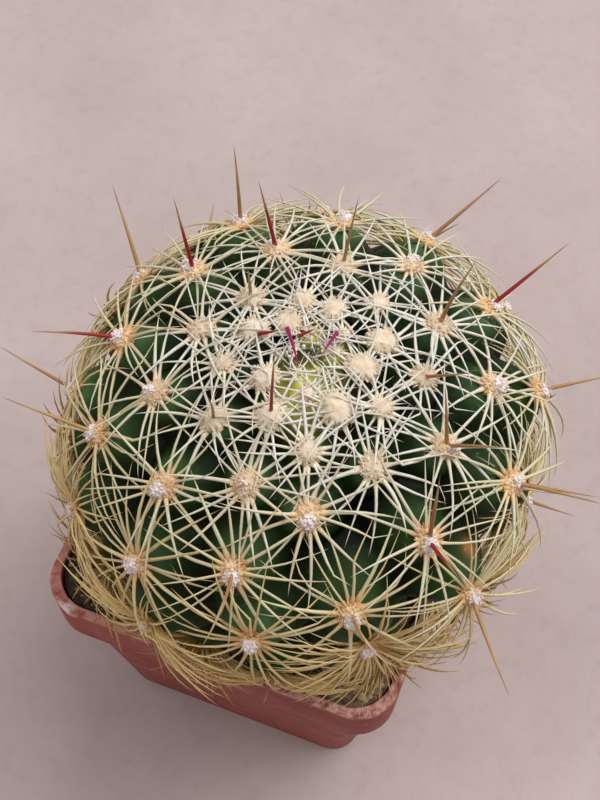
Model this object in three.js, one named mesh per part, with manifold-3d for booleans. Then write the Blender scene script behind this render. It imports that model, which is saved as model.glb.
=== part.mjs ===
// A potted glory of texas cactus, in millimetres with +Z up.
// The origin is the centre of the pot's underside, and X and Y run along the sides of the square pot.
// Three pieces: the plastic pot, the potting mix that fills it, and the plant, which grew as one piece.
import * as THREE from "three";
import { mergeVertices } from "three/addons/utils/BufferGeometryUtils.js";
import Module from "manifold-3d";

const wasm = await Module();
wasm.setup();

// Pot
const RIM_SIDE = 65;
const BASE_SIDE = 52;
const POT_HEIGHT = 60;
const CORNER_RADIUS = 7.3;
const COLLAR_HEIGHT = 12;
const COLLAR_PROUD = 1;
const WALL = 1.3;
const COLLAR_WALL = 1.6;
const COLLAR_STEP = 2;
const RIM_ROUND = 0.7;
const FLOOR_THICKNESS = 1.8;
const DRAIN_RADIUS = 3;
const DRAIN_OFFSET = 15;
const CORNER_STEPS = 3;

// Potting mix, and the gap between pieces that touch
const GAP = 0.3;
const SOIL_BELOW_RIM = 4;
const CRUMB_SIZE = 2.4;
const CRUMB_STRAY = 0.6;
const CRUMB_SUNK = 0.3;
const CRUMBS_EACH_WAY = 4;
const CRUMB_TUMBLE = 6;
const HOLE_DEPTH = 11;

// Stem: the areoles lie on a spheroid, and the flesh falls away between them as tubercles
const AREOLE_RADIUS = 40.4;
const AREOLE_HEIGHT = 0.689 * AREOLE_RADIUS;
const AREOLE_DROP = 0.9 * AREOLE_RADIUS;
const STEM_CENTRE = new THREE.Vector3(5.8, 2.6, POT_HEIGHT + 25.6);
const STEM_DETAIL = 10;
const FLAT_FROM = 68;
const FLAT_TO = 84;
const FLATTENING = 0.125;
const FLATTER_SIDE = -25;
const DEEPER_VALLEYS = 0.6;
const TUBERCLE_DEPTH = 0.5;
const WIDEST_TUBERCLE = 18;
const TUBERCLE_CURVE = 1.7;
const DEEPEST_REACH = 1.07;
const NECK_RADIUS = 15;
const NECK_TAPER = 6;
const NECK_FLARE = 1.7;
const NECK_FLARE_RISE = 8;
const NECK_TOP_RISE = 19;
const NECK_SIDES = 20;

// Areoles: a spiral with one divergence angle, whose steps down the stem widen with age
const DIVERGENCE = 138.007;
const FIRST_TURN = 36;
const YOUNGEST_AGE = 11;
const OLDEST_AGE = 91;
const AGE_AT_WAIST = 74.4;
const GROWTH = 1.802;
const FIRST_INDEX_AGE = 27.445;
const HEXAGON_PACKING = 2 / Math.sqrt(3);

// Areoles that stand off their place in the spiral: number, how far downhill, how far across
const STRAYS = new Map([
  [2, [-2, 0]], [7, [-1.5, 0.5]], [12, [-2, 0.5]], [19, [-2.5, -2]], [23, [1.5, 0]], [24, [1, 0]],
  [30, [-1, -1.5]], [34, [-1.5, 0]], [37, [1, -0.5]], [38, [-0.5, 2]], [40, [-1.5, 1]], [45, [-1, -1]],
]);

// Woolly pads, smaller where the areoles are young and close together
const PAD_RADIUS = 2.3;
const PAD_HEIGHT = 1.8;
const PAD_FULL_SPACING = 8;

// Size of pads and spines at the very top, next to a full-grown one
const YOUNGEST_SHARE = 0.45;

// Spines: roots start inside the pad, and young areoles have shorter radial spines
const ROOT_OUT = 0.5;
const ROOT_SUNK = 0.2;
const RADIALS = 8;
const RADIAL_LENGTH = 11.5;
const RADIAL_FULL_SPACING = 12;
const RADIAL_THICK = 0.5;
const RADIAL_LIFT = 12;

// Radial spines are longer on the flank, fully so from the second of these angles off the plant's top
const CROWN_UNTIL = 27;
const FLANK_FROM = 54;
const FLANK_LENGTHENING = 0.25;

// Central spines, and the length and lean of those that rest along the stem on the lowest areoles
const CENTRAL_THICK = 0.75;
const RESTING_LENGTH = 11;
const RESTING_LEAN = 68;

// Spines keep this far from each other and from the pot, and sway by steps until they do
const CLEARANCE = 0.6;
const TRIES = 6;
const SWAY = 5;
const SAMPLES = 16;
const SEED = 20;

// Central spines that stand well clear: areole number, length, lean from upright, turn from downhill
const STANDING_CENTRALS = [
  [1, 15, 20, -170], [7, 10, 20, 170], [8, 11, 25, -45], [9, 10, 20, 150], [10, 15, 10, -155],
  [13, 15, 10, 160], [14, 10, 10, 0], [15, 15, 15, 155], [16, 13, 15, -5], [16, 14, 35, 170],
  [20, 15, 15, -165], [24, 15, 50, 165], [24, 14, 15, -50], [25, 14, 40, 20], [26, 16, 20, 5],
  [27, 12, 15, 50], [28, 15, 25, -165], [29, 14, 25, 10], [29, 13, 50, 25], [30, 15, 35, -55],
  [31, 16, 25, -70], [32, 12, 10, 165], [33, 16, 25, -105], [34, 14, 40, 20], [37, 16, 45, -30],
  [38, 14, 15, -70], [41, 15, 50, -30], [42, 13, 60, 20],
];

const degrees = Math.PI / 180;
const up = new THREE.Vector3(0, 0, 1);

// A seeded generator of even draws between 0 and 1
function draws(seed) {
  let state = seed;
  return () => {
    state = (state * 16807) % 2147483647;
    return state / 2147483647;
  };
}

function solid(geometry) {
  const bare = geometry.clone();
  bare.deleteAttribute("normal");
  bare.deleteAttribute("uv");
  const merged = mergeVertices(bare);
  return new wasm.Manifold(new wasm.Mesh({
    numProp: 3,
    vertProperties: Float32Array.from(merged.attributes.position.array),
    triVerts: Uint32Array.from(merged.index.array),
  }));
}

function geometryOf(body) {
  const mesh = body.getMesh();
  const geometry = new THREE.BufferGeometry();
  geometry.setAttribute("position", new THREE.BufferAttribute(mesh.vertProperties, 3));
  geometry.setIndex(new THREE.BufferAttribute(mesh.triVerts, 1));
  return geometry;
}

function piece(name, body, color, roughness) {
  const material = new THREE.MeshStandardMaterial({ color, roughness, metalness: 0 });
  const mesh = new THREE.Mesh(geometryOf(body), material);
  mesh.name = name;
  return mesh;
}

// A square of side 1 with round corners, in the rim's proportions
function roundedSquare() {
  const radius = CORNER_RADIUS / RIM_SIDE;
  const inset = 0.5 - radius;
  const quarter = Math.PI / 2;
  const shape = new THREE.Shape();
  shape.absarc(inset, inset, radius, 0, quarter);
  shape.absarc(-inset, inset, radius, quarter, 2 * quarter);
  shape.absarc(-inset, -inset, radius, 2 * quarter, 3 * quarter);
  shape.absarc(inset, -inset, radius, 3 * quarter, 4 * quarter);
  return shape;
}

// A body through rounded squares, each given as [height, side], from the bottom up
function squareLoft(stations) {
  const steps = stations.length - 1;
  const options = { depth: steps, steps, bevelEnabled: false, curveSegments: CORNER_STEPS };
  const geometry = new THREE.ExtrudeGeometry(roundedSquare(), options);
  const at = geometry.attributes.position;
  for (let i = 0; i < at.count; i += 1) {
    const [height, side] = stations[Math.round(at.getZ(i))];
    at.setXYZ(i, at.getX(i) * side, at.getY(i) * side, height);
  }
  return solid(geometry);
}

// An upright cylinder centred on a point
function upright(radius, length, sides, x, y, z) {
  const cylinder = new THREE.CylinderGeometry(radius, radius, length, sides);
  return solid(cylinder.rotateX(Math.PI / 2).translate(x, y, z));
}

// Side of the pot's outer wall at a height, without the collar
function wallSide(height) {
  return BASE_SIDE + (RIM_SIDE - 2 * COLLAR_PROUD - BASE_SIDE) * height / POT_HEIGHT;
}

function cavitySide(height) {
  return wallSide(height) - 2 * WALL;
}

// The inside of the pot, which widens by a step behind the collar, given the height of its floor,
// the height of its top and a gap to stay clear of the wall
function cavityStations(bottom, top, gap) {
  const step = POT_HEIGHT - COLLAR_HEIGHT + WALL;
  return [
    [bottom, cavitySide(bottom) - 2 * gap],
    [step, cavitySide(step) - 2 * gap],
    [step + COLLAR_STEP, RIM_SIDE - 2 * COLLAR_WALL - 2 * gap],
    [top, RIM_SIDE - 2 * COLLAR_WALL - 2 * gap],
  ];
}

function potSolid() {
  const collar = POT_HEIGHT - COLLAR_HEIGHT;
  const outer = squareLoft([
    [0, BASE_SIDE - 2 * RIM_ROUND],
    [RIM_ROUND, BASE_SIDE],
    [collar, wallSide(collar)],
    [collar + RIM_ROUND, RIM_SIDE - 2 * RIM_ROUND],
    [POT_HEIGHT - RIM_ROUND, RIM_SIDE],
    [POT_HEIGHT, RIM_SIDE - 2 * RIM_ROUND],
  ]);
  const inner = squareLoft(cavityStations(FLOOR_THICKNESS, POT_HEIGHT + RIM_ROUND, 0));
  let pot = outer.subtract(inner);
  for (const [x, y] of [[1, 1], [-1, 1], [-1, -1], [1, -1]]) {
    const drain = upright(DRAIN_RADIUS, 4 * FLOOR_THICKNESS, 12, x * DRAIN_OFFSET, y * DRAIN_OFFSET, 0);
    pot = pot.subtract(drain);
  }
  return pot;
}

// Potting mix: a block inside the wall whose top is grainy, with a plain hole for the base of the stem
function soilSolid() {
  const top = POT_HEIGHT - SOIL_BELOW_RIM;
  const block = squareLoft(cavityStations(FLOOR_THICKNESS + GAP, top, GAP));
  const hole = upright(NECK_RADIUS + 2 * GAP, 2 * HOLE_DEPTH, NECK_SIDES, STEM_CENTRE.x, STEM_CENTRE.y, top);
  return block.add(grit(top)).subtract(hole);
}

// Crumbs of mix and grit sunk into the top, on a jittered grid
function grit(top) {
  const draw = draws(SEED);
  const reach = RIM_SIDE / 2 - COLLAR_WALL - GAP - CRUMB_SIZE - 2 * CRUMB_STRAY;
  const pitch = reach / CRUMBS_EACH_WAY;
  const crumbs = [];
  for (let i = -CRUMBS_EACH_WAY; i <= CRUMBS_EACH_WAY; i += 1) {
    for (let j = -CRUMBS_EACH_WAY; j <= CRUMBS_EACH_WAY; j += 1) {
      const size = CRUMB_SIZE * (0.6 + 0.4 * draw());
      const crumb = new THREE.OctahedronGeometry(size, 0);
      crumb.rotateX(CRUMB_TUMBLE * draw()).rotateZ(CRUMB_TUMBLE * draw());
      const x = i * pitch + CRUMB_STRAY * (2 * draw() - 1);
      const y = j * pitch + CRUMB_STRAY * (2 * draw() - 1);
      crumbs.push(solid(crumb.translate(x, y, top - CRUMB_SUNK * size)));
    }
  }
  return wasm.Manifold.union(crumbs);
}

// The spheroid is taller below its waist than above
function heightScale(side) {
  return side > 0 ? AREOLE_HEIGHT : AREOLE_DROP;
}

// From 0 above the waist to 1 below it, at an angle from the plant's top
function waistShare(theta) {
  return THREE.MathUtils.smoothstep(theta / degrees, FLAT_FROM, FLAT_TO);
}

// How far out the plant reaches at an angle from its top and a turn round it, next to its plain
// spheroid: its side towards +X is flatter below the waist
function girth(theta, turn) {
  return 1 - FLATTENING * waistShare(theta) * Math.max(Math.cos(turn), 0);
}

// How much deeper the valleys between tubercles are than elsewhere: more so on the flatter side
function valleyGain(theta, turn) {
  return 1 + DEEPER_VALLEYS * waistShare(theta) * Math.max(Math.cos(turn - FLATTER_SIDE * degrees), 0);
}

// An areole's angle from the plant's top, its place about the stem's centre, its spacing, and its
// directions outward, downhill and across
function areole(number) {
  const age = number + FIRST_INDEX_AGE;
  const theta = 90 * degrees * Math.pow(age / AGE_AT_WAIST, GROWTH);
  const turn = (FIRST_TURN - number * DIVERGENCE) * degrees;
  const ring = new THREE.Vector3(Math.cos(turn), Math.sin(turn), 0);
  const place = ring.clone().multiplyScalar(AREOLE_RADIUS * girth(theta, turn) * Math.sin(theta));
  const height = heightScale(Math.cos(theta));
  place.z = height * Math.cos(theta);
  const outward = ring.clone().multiplyScalar(Math.sin(theta) / AREOLE_RADIUS);
  outward.z = Math.cos(theta) / height;
  outward.normalize();
  const downhill = ring.clone().multiplyScalar(AREOLE_RADIUS * Math.cos(theta));
  downhill.z = -height * Math.sin(theta);
  downhill.normalize();
  const across = new THREE.Vector3().crossVectors(outward, downhill);
  const share = 2 * Math.PI * Math.sin(theta) * GROWTH * theta / age;
  const spacing = AREOLE_RADIUS * Math.sqrt(HEXAGON_PACKING * share);
  if (STRAYS.has(number)) {
    const [down, aside] = STRAYS.get(number);
    place.addScaledVector(downhill, down).addScaledVector(across, aside);
  }
  return { number, theta, place, outward, downhill, across, spacing };
}

function areoles() {
  const all = [];
  const first = Math.ceil(YOUNGEST_AGE - FIRST_INDEX_AGE);
  const last = Math.floor(OLDEST_AGE - FIRST_INDEX_AGE);
  for (let number = first; number <= last; number += 1) {
    all.push(areole(number));
  }
  return all;
}

// Each point of the spheroid sinks by its distance to the nearest areole, which leaves tubercles
function stemSolid(all) {
  const geometry = new THREE.IcosahedronGeometry(1, STEM_DETAIL);
  const at = geometry.attributes.position;
  const point = new THREE.Vector3();
  for (let i = 0; i < at.count; i += 1) {
    point.fromBufferAttribute(at, i).normalize();
    const theta = Math.acos(point.z);
    const turn = Math.atan2(point.y, point.x);
    const reach = AREOLE_RADIUS * girth(theta, turn);
    point.multiply(new THREE.Vector3(reach, reach, heightScale(point.z)));
    point.multiplyScalar(1 - hollow(point, all) * valleyGain(theta, turn) / AREOLE_RADIUS);
    at.setXYZ(i, point.x, point.y, point.z);
  }
  return solid(geometry).add(neckSolid());
}

// How far a point sinks: nothing at an areole, and a tubercle's depth where three tubercles meet
function hollow(point, all) {
  let nearest = Infinity;
  let depth = 0;
  for (const one of all) {
    const reach = one.place.distanceTo(point) * Math.sqrt(3) / one.spacing;
    if (reach < nearest) {
      nearest = reach;
      depth = TUBERCLE_DEPTH * Math.min(one.spacing, WIDEST_TUBERCLE);
    }
  }
  return depth * Math.min(nearest, DEEPEST_REACH) ** TUBERCLE_CURVE;
}

// The corky base of the stem, which stands in the hole in the potting mix and flares into the flesh
function neckSolid() {
  const bottom = POT_HEIGHT - SOIL_BELOW_RIM - HOLE_DEPTH + GAP - STEM_CENTRE.z;
  const surface = bottom + HOLE_DEPTH + 1;
  const profile = [
    new THREE.Vector2(0, bottom),
    new THREE.Vector2(NECK_RADIUS - 0.7 * NECK_TAPER, bottom),
    new THREE.Vector2(NECK_RADIUS, bottom + NECK_TAPER),
    new THREE.Vector2(NECK_RADIUS, surface),
    new THREE.Vector2(NECK_RADIUS * NECK_FLARE, surface + NECK_FLARE_RISE),
    new THREE.Vector2(0, surface + NECK_TOP_RISE),
  ];
  return solid(new THREE.LatheGeometry(profile, NECK_SIDES).rotateX(Math.PI / 2));
}

// From about half at the crown to all of it where the areoles stand this far apart
function grown(one, fullSpacing) {
  return Math.min(1, YOUNGEST_SHARE + (1 - YOUNGEST_SHARE) * one.spacing / fullSpacing);
}

function padSolid(one) {
  const radius = PAD_RADIUS * grown(one, PAD_FULL_SPACING);
  const pad = new THREE.OctahedronGeometry(1, 0).scale(radius, radius, PAD_HEIGHT);
  pad.translate(0, 0, -PAD_HEIGHT / 3);
  pad.applyMatrix4(new THREE.Matrix4().makeBasis(one.downhill, one.across, one.outward));
  return solid(pad.translate(one.place.x, one.place.y, one.place.z));
}

// A straight three-sided needle from root to tip
function needleSolid(root, tip, thick) {
  const along = new THREE.Vector3().subVectors(tip, root);
  const length = along.length();
  const needle = new THREE.ConeGeometry(thick / Math.sqrt(3), length, 3);
  needle.rotateX(Math.PI / 2).translate(0, 0, length / 2);
  needle.applyQuaternion(new THREE.Quaternion().setFromUnitVectors(up, along.normalize()));
  return solid(needle.translate(root.x, root.y, root.z));
}

function direction(one, lean, turn) {
  const flat = Math.sin(lean * degrees);
  return new THREE.Vector3()
    .addScaledVector(one.downhill, flat * Math.cos(turn * degrees))
    .addScaledVector(one.across, flat * Math.sin(turn * degrees))
    .addScaledVector(one.outward, Math.cos(lean * degrees));
}

// The listed central spines, and on each areole older than those one that rests along the stem
function centralSpines(all) {
  const draw = draws(SEED + 1);
  const spines = [];
  for (const [number, length, lean, turn] of STANDING_CENTRALS) {
    spines.push({ one: areole(number), length, lean, turn, thick: CENTRAL_THICK });
  }
  const oldest = Math.max(...STANDING_CENTRALS.map(([number]) => number));
  for (const one of all.filter((each) => each.number > oldest)) {
    const length = RESTING_LENGTH * (0.85 + 0.3 * draw());
    const lean = RESTING_LEAN * (0.85 + 0.3 * draw());
    spines.push({ one, length, lean, turn: 360 * draw(), thick: CENTRAL_THICK });
  }
  return spines;
}

function radialSpines(all) {
  const draw = draws(SEED + 2);
  const spines = [];
  for (const one of all) {
    const start = 360 * draw();
    const onFlank = THREE.MathUtils.smoothstep(one.theta / degrees, CROWN_UNTIL, FLANK_FROM);
    const fullLength = RADIAL_LENGTH * grown(one, RADIAL_FULL_SPACING) * (1 + FLANK_LENGTHENING * onFlank);
    for (let i = 0; i < RADIALS; i += 1) {
      const length = fullLength * (0.9 + 0.2 * draw());
      const lean = 90 - RADIAL_LIFT * (1 + 0.4 * draw());
      const turn = start + 360 * (i + 0.5 * (draw() - 0.5)) / RADIALS;
      spines.push({ one, length, lean, turn, thick: RADIAL_THICK });
    }
  }
  return spines;
}

function placed(spine, lean, turn) {
  const aim = direction(spine.one, lean, turn);
  const root = spine.one.place.clone().addScaledVector(aim, ROOT_OUT);
  root.addScaledVector(spine.one.outward, -ROOT_SUNK);
  const tip = root.clone().addScaledVector(aim, spine.length);
  return { ...spine, root, tip };
}

// Shortest distance from one spine, sampled from near its root to its tip, to another
function clearance(a, b) {
  const line = new THREE.Line3(b.root, b.tip);
  const on = new THREE.Vector3();
  const near = new THREE.Vector3();
  let least = Infinity;
  for (let i = 3; i <= SAMPLES; i += 1) {
    on.lerpVectors(a.root, a.tip, i / SAMPLES);
    line.closestPointToPoint(on, true, near);
    least = Math.min(least, on.distanceTo(near));
  }
  return least;
}

// True where a spine stays above the rim, or outside it
function clearOfPot(spine) {
  const on = new THREE.Vector3();
  for (let i = 1; i <= SAMPLES; i += 1) {
    on.lerpVectors(spine.root, spine.tip, i / SAMPLES).add(STEM_CENTRE);
    const inside = Math.max(Math.abs(on.x), Math.abs(on.y)) < RIM_SIDE / 2 + CLEARANCE;
    if (inside && on.z < POT_HEIGHT + CLEARANCE) {
      return false;
    }
  }
  return true;
}

// A spine leans another way, or at last is left out, where it would cross one that already stands
function spineSolids(all) {
  const draw = draws(SEED + 3);
  const standing = [];
  for (const spine of [...centralSpines(all), ...radialSpines(all)]) {
    const others = standing.filter((other) => other.one.number !== spine.one.number);
    for (let go = 0; go < TRIES; go += 1) {
      const sway = go * SWAY;
      const trial = placed(spine, spine.lean - sway * draw(), spine.turn + sway * (draw() - 0.5));
      if (clearOfPot(trial) && others.every((other) => clearance(trial, other) > CLEARANCE)) {
        standing.push(trial);
        break;
      }
    }
  }
  return standing.map((spine) => needleSolid(spine.root, spine.tip, spine.thick));
}

function cactusSolid() {
  const all = areoles();
  const parts = [stemSolid(all), ...all.map(padSolid), ...spineSolids(all)];
  return wasm.Manifold.union(parts).translate(STEM_CENTRE.toArray());
}

const plant = new THREE.Group();
plant.add(piece("pot", potSolid(), 0xa35a52, 0.6));
plant.add(piece("soil", soilSolid(), 0x3a2c24, 0.95));
plant.add(piece("cactus", cactusSolid(), 0x2f5a3a, 0.5));

export default plant;
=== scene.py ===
"""A potted glory of texas cactus, dressed round its solids: a square plastic pot, its potting mix,
the tubercled stem, its woolly areoles, and the radial and central spines.
Lengths are in metres and listed angles in degrees, in the solids' own frame: +Z up, with the origin
under the middle of the pot. A turn on an areole is counted from downhill. An areole's age is its
angle from the plant's top as a share of a half turn: 0 at the top and 0.5 at the waist.
"""
import math
from collections import namedtuple

import bmesh
import bpy
import numpy as np
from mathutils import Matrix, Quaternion, Vector, noise


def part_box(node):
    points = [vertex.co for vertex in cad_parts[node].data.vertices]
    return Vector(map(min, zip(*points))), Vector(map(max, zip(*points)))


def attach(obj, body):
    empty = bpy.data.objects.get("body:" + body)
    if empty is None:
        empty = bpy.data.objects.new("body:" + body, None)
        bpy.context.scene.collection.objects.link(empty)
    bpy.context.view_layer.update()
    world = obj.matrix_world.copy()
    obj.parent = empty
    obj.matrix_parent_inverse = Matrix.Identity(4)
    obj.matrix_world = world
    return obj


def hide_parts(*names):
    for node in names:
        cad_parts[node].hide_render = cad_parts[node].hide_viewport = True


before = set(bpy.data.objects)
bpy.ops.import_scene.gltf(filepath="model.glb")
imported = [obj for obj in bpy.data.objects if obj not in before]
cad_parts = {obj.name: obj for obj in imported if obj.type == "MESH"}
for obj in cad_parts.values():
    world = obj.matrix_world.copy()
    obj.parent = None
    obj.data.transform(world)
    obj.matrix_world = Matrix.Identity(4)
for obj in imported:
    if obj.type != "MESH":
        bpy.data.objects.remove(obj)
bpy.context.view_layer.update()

MM = 0.001
SEED = 20

# The plant: areoles lie on a spheroid, taller below its waist, each one step further along one
# spiral whose steps widen
AREOLE_RADIUS = 40.4 * MM
AREOLE_HEIGHT = 0.689 * AREOLE_RADIUS
AREOLE_DROP = 0.9 * AREOLE_RADIUS
RIM_TO_WAIST = 25.6 * MM
STEM_OFFSET = (5.8 * MM, 2.6 * MM)
DIVERGENCE = 138.007
FIRST_TURN = 36
YOUNGEST_STEP = 11
OLDEST_STEP = 91
STEPS_TO_FIRST = 27.445
STEPS_TO_WAIST = 74.4
GROWTH = 1.802

# How closely areoles pack, how full-grown the spines of crowded ones still are, and two measures
# that spread things evenly: the golden turn, in radians, and the golden share
PACKING = 1.155
CROWDED_GROWN = 0.45
GOLDEN_TURN = 2.39996
GOLDEN_SHARE = 0.618

# Below its waist the plant is flatter towards +X, and its valleys are deeper towards the flatter side
FLAT_FROM = 68
FLAT_TO = 84
FLATTENING = 0.125
FLATTER_SIDE = -25
DEEPER_VALLEYS = 0.6

# Areoles that stand off their place in the spiral: number, then mm downhill and mm across
STRAYS = {
    2: (-2, 0), 7: (-1.5, 0.5), 12: (-2, 0.5), 19: (-2.5, -2), 23: (1.5, 0), 24: (1, 0),
    30: (-1, -1.5), 34: (-1.5, 0), 37: (1, -0.5), 38: (-0.5, 2), 40: (-1.5, 1), 45: (-1, -1),
}

# How deep the areoles low on the flank sit in the flesh, and the angles from the top between which
# they come to that
SUNK = 0.8 * MM
SUNK_FROM = 54
SUNK_TO = 72

# Tubercles: how deep their valleys are next to the areoles' spacing, the widest spacing that deepens
# them, how the flanks curve and how far they fall, how sharply tubercles part, and the skin's ripple
TUBERCLE_DEPTH = 0.5
WIDEST_TUBERCLE = 18 * MM
TUBERCLE_CURVE = 1.7
DEEPEST_REACH = 1.15
PARTING = 24
SKIN_RIPPLE = 0.22 * MM

# Where the flesh is still yellow-green: how far round some of the youngest areoles, in mm, and the
# gain that fills the middle of each soft spot
FRESH_AREOLES = {-7: 3.8, -11: 1.8, -13: 1.7}
FRESH_GAIN = 1.3

# A patch of corky old tissue low on the front: degrees from the top and round the plant, and how
# deep it lies as a share of the spheroid
CORKY_PLACE = (62, -24)
CORKY_DEPTH = 0.94
CORKY_REACH = 1.3 * MM

# The neck under the stem stands straight in its hole in the mix, and flares up into the flesh from a
# little above it
NECK_RADIUS = 15 * MM
NECK_FLARE = 1.7
NECK_FLARE_RISE = 8 * MM
NECK_ABOVE_MIX = 1 * MM
HOLE_DEPTH = 11 * MM

# The mix: how far its middle lies under the rim, how high it is heaped and between which distances
# from its middle, and how much paler it is in its +X corners, and darker in the others: painted
# light where the window light falls on the +X corners, and painted shade in the others
SOIL_BELOW_RIM = 4 * MM
CORNER_HEAP = 2.9 * MM
HEAP_FROM = 24 * MM
HEAP_TO = 36 * MM
PALER_MIX = 0.35

# Its crumbs: how many, the least size and how much more the largest have, in mm, their tones and the
# share of each, and the stretch of every sixth, a fibre
CRUMBS = 5200
LEAST_CRUMB = 0.22
LARGER_CRUMB = 0.75
CRUMB_TONES = (0.15, 0.5, 0.75, 1.0)
TONE_SHARES = (0.2, 0.22, 0.3, 0.28)
FIBRE_EVERY = 6
FIBRE_STRETCH = (3.2, 0.3, 0.3)

# The pot, and the gap round the potting mix
BASE_SIDE = 52 * MM
CORNER_RADIUS = 7.3 * MM
COLLAR_HEIGHT = 12 * MM
COLLAR_PROUD = 1 * MM
COLLAR_WALL = 1.6 * MM
COLLAR_STEP = 2 * MM
WALL = 1.3 * MM
FLOOR_THICKNESS = 1.8 * MM
DRAIN_RADIUS = 3 * MM
DRAIN_OFFSET = 15 * MM
LIP_ROUND = 0.6 * MM
GAP = 0.3 * MM

# A spine's profile: where its foot ends and its taper starts, how the taper curves, and for each kind
# how thick it is at the root and at the end of its foot, next to its radius
FOOT_END = 0.14
TAPER = 1.6
RADIAL_SWELL = (1.6, 0.9)
CENTRAL_SWELL = (1.2, 0.85)
HAIR_SWELL = (1, 0.9)

# How many radial spines an areole has: fewer where it is crowded, a few on the buds, which is the
# least, with more on those that show, and more on the flank and on the lowest
RADIALS = 16
ROOMY_SPACING = 6.6 * MM
BUDS_UNTIL = -9
BUD_RADIALS = 3
SHOWN_BUD_RADIALS = 8
FLANK_FROM = 33
FLANK_RADIALS = 22
LOWER_FROM = 41
LOWER_RADIALS = 54

# How long and thick a radial spine is on an areole with full room, and how that changes with its
# tier, its growth and its age, and by what share chance spreads both
RADIAL_LENGTH = 11.8 * MM
RADIAL_RADIUS = 0.28 * MM
RADIAL_FULL_SPACING = 12 * MM
OUTER_LENGTH = 1.04
INNER_SHORTER = 0.16
CROWN_LENGTH = 0.97
FLANK_LONGER = 0.28
OVER_TOP_SHORTER = 0.5
CROWDED_THIN = 0.26
LOWER_THIN = 0.88
LENGTH_SPREAD = 0.07
RADIUS_SPREAD = 0.16

# Between which ages the radial spines change: they age, lengthen, lie pressed to the flesh, curve
# back and stand loose, and near the top they are short where they lean over it
AGING = (0, 0.35)
LENGTHENING = (0.15, 0.3)
PRESSING = (0.26, 0.34)
RECURVING = (0.3, 0.44)
LOOSENING = (0.36, 0.44)
OVER_TOP = (0.1, 0.05)

# Where they root on the pad: on an oval that is longer downhill, at a share of the pad from its
# middle, with the inner tier closer in and higher, more so on old areoles
ROOT_OVAL = (1.2, 0.95)
ROOT_RING = 0.8
INNER_RING = 0.1
OLD_INNER_RING = 0.2
INNER_ROOT_RISE = 0.5 * MM
YOUNG_ROOT_SINK = 0.2 * MM

# Degrees that they lift off the flesh, with what age and the inner tier add, what pressing takes off,
# the least that is left, and how far chance spreads them
LIFT = 7
OLD_LIFT = 2
INNER_LIFT = 14
PRESSED_LIFT = 7
LEAST_LIFT = 2
LIFT_SPREAD = 4

# Degrees that they bend back to it, how far chance spreads them, what age, the inner tier, recurving,
# pressing and the flatter side add, and the share of the last three that uphill ones go without
BEND = 3
BEND_SPREAD = 6
OLD_BEND = 5
INNER_BEND = 9
RECURVED_BEND = 12
PRESSED_BEND = 5.6
FLATTER_BEND = 2.8
UPHILL_STRAIGHTER = 0.85

# How far the pressed ones comb aside from downhill, in radians, and how many degrees spines sway,
# with how many fewer low on the flank
COMBED = 0.4
SWAY = 15
LOWER_STEADIER = 5

# The share of radial spines with a kink, where along them it comes, by how many degrees they turn
# there, and a place past the tip for those without one
KINKED = 0.1
KINK_PLACES = (0.45, 0.8)
KINK_DEGREES = (20, 60)
NO_KINK = 2

# The sides where the lowest spines stand loose and hang over the pot's rim: degrees round the plant,
# and how many degrees they lift there. From so many degrees on they aren't pressed, and are longer
LOOSE_SIDES = {-118: 8, -42: 14}
LOOSE_NARROWNESS = 6
LOOSE_FULLY = 8
LOOSE_LENGTH = 0.1

# The side whose spines are coloured paler, painted light where the window light falls on them: how
# much younger they are coloured, and how many times that is the share of their brown tone that they
# lose
PAINTED_LIT_SIDE = 25
PAINTED_LIT_PALING = 0.06
PAINTED_LIT_TONE_LOSS = 9

# How far spines keep off the pot and the mix, and by how many degrees, or what share of its length,
# one that doesn't is lifted, straightened and shortened at each try
POT_CLEARANCE = 0.4 * MM
MIX_CLEARANCE = 0.8 * MM
FITTING_TRIES = 7
FITTING_LIFT = 8
FITTING_BEND = 6
FITTING_LENGTH = 0.94

# The pieces of radial spines, and between which ages their areoles are
RADIAL_PIECES = {"crown_spines": (0, 0.24), "flank_spines": (0.24, 0.42), "lower_spines": (0.42, 1)}

# Central spines: their radius at full length, the least and most of it that others have, the share
# of it that those near the crown have and up to which areole, the length and lean of those that rest
# on the flank, and how many degrees all of them bend and sway by chance
CENTRAL_RADIUS = 0.37 * MM
CENTRAL_FULL_LENGTH = 14 * MM
CENTRAL_THICKNESSES = (0.7, 1.1)
SLENDER = 0.85
SLENDER_UNTIL = 12
RESTING_LENGTH = 11 * MM
RESTING_LEAN = 68
CENTRAL_BEND_SPREAD = 5
CENTRAL_SWAY = 4

# Central spines that stand well clear: areole number, length in mm, lean from upright, turn, and how
# red its lower half is
STANDING_CENTRALS = [
    (1, 15, 20, -170, 0.9), (7, 10, 20, 170, 0.2), (8, 11, 25, -45, 0.3), (9, 10, 20, 150, 0.2),
    (10, 15, 10, -155, 0.1), (13, 15, 10, 160, 0.3), (14, 10, 10, 0, 0.3), (15, 15, 15, 155, 1.0),
    (16, 13, 15, -5, 0.2), (16, 14, 35, 170, 0.2), (20, 15, 15, -165, 1.0), (24, 15, 50, 165, 0.5),
    (24, 14, 15, -50, 1.0), (25, 14, 40, 20, 1.0), (26, 16, 20, 5, 1.0), (27, 12, 15, 50, 0.3),
    (28, 15, 25, -165, 0.1), (29, 14, 25, 10, 0.0), (29, 13, 50, 25, 0.2), (30, 15, 35, -55, 0.0),
    (31, 16, 25, -70, 0.2), (32, 12, 10, 165, 0.1), (33, 16, 25, -105, 0.0), (34, 14, 40, 20, 0.1),
    (37, 16, 45, -30, 0.0), (38, 14, 15, -70, 0.2), (41, 15, 50, -30, 0.0), (42, 13, 60, 20, 0.1),
]
OLDEST_LISTED = 42

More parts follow.
